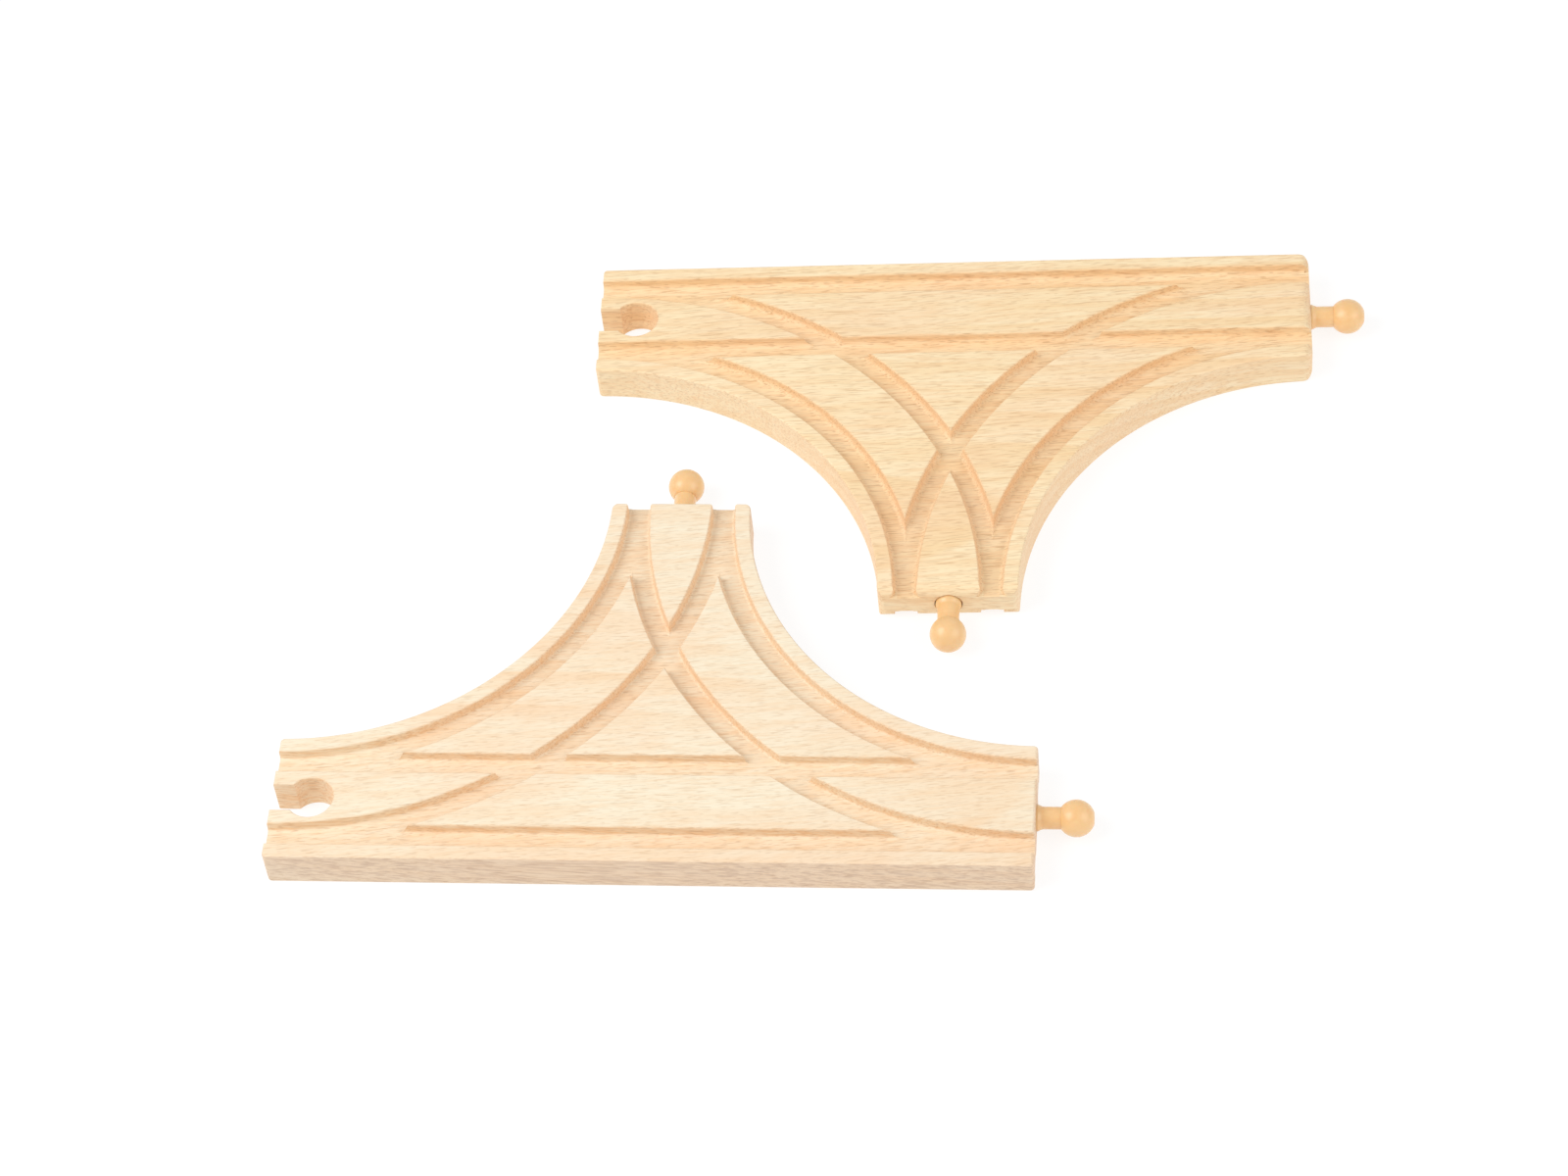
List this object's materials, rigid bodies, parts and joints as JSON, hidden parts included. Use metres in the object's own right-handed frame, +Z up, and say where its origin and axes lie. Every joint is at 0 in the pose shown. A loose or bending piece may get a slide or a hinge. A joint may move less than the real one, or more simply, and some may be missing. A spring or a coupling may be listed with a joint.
{
  "type": "wooden railway junction track pair",
  "caption": "Pair of flat wooden T-junction railway tracks with wheel grooves on both faces, ball-ended connector pegs and keyhole sockets.",
  "frame": {"origin": "middle of the footprint of the two tracks, at the height of the surface they lie on", "axes": "+X along the first track's bar towards its peg, +Y from the second track towards the first, +Z up"},
  "size_m": [0.3064, 0.2192, 0.012],
  "materials": {
    "beech": "bare sanded beech, matt, with fine pores along the bar",
    "peg_honey": "smooth honey-coloured moulding, soft gloss"
  },
  "bodies": {
    "first_junction": {"first_track": "beech", "first_bar_peg": "peg_honey", "first_stem_peg": "peg_honey"},
    "second_junction": {"second_track": "beech", "second_bar_peg": "peg_honey", "second_stem_peg": "peg_honey"}
  },
  "joints": [
    {"name": "second_junction_lift", "type": "slide", "parent": "first_junction", "child": "second_junction", "axis": [0, 0, 1], "range_m": [0, 0.05]}
  ]
}
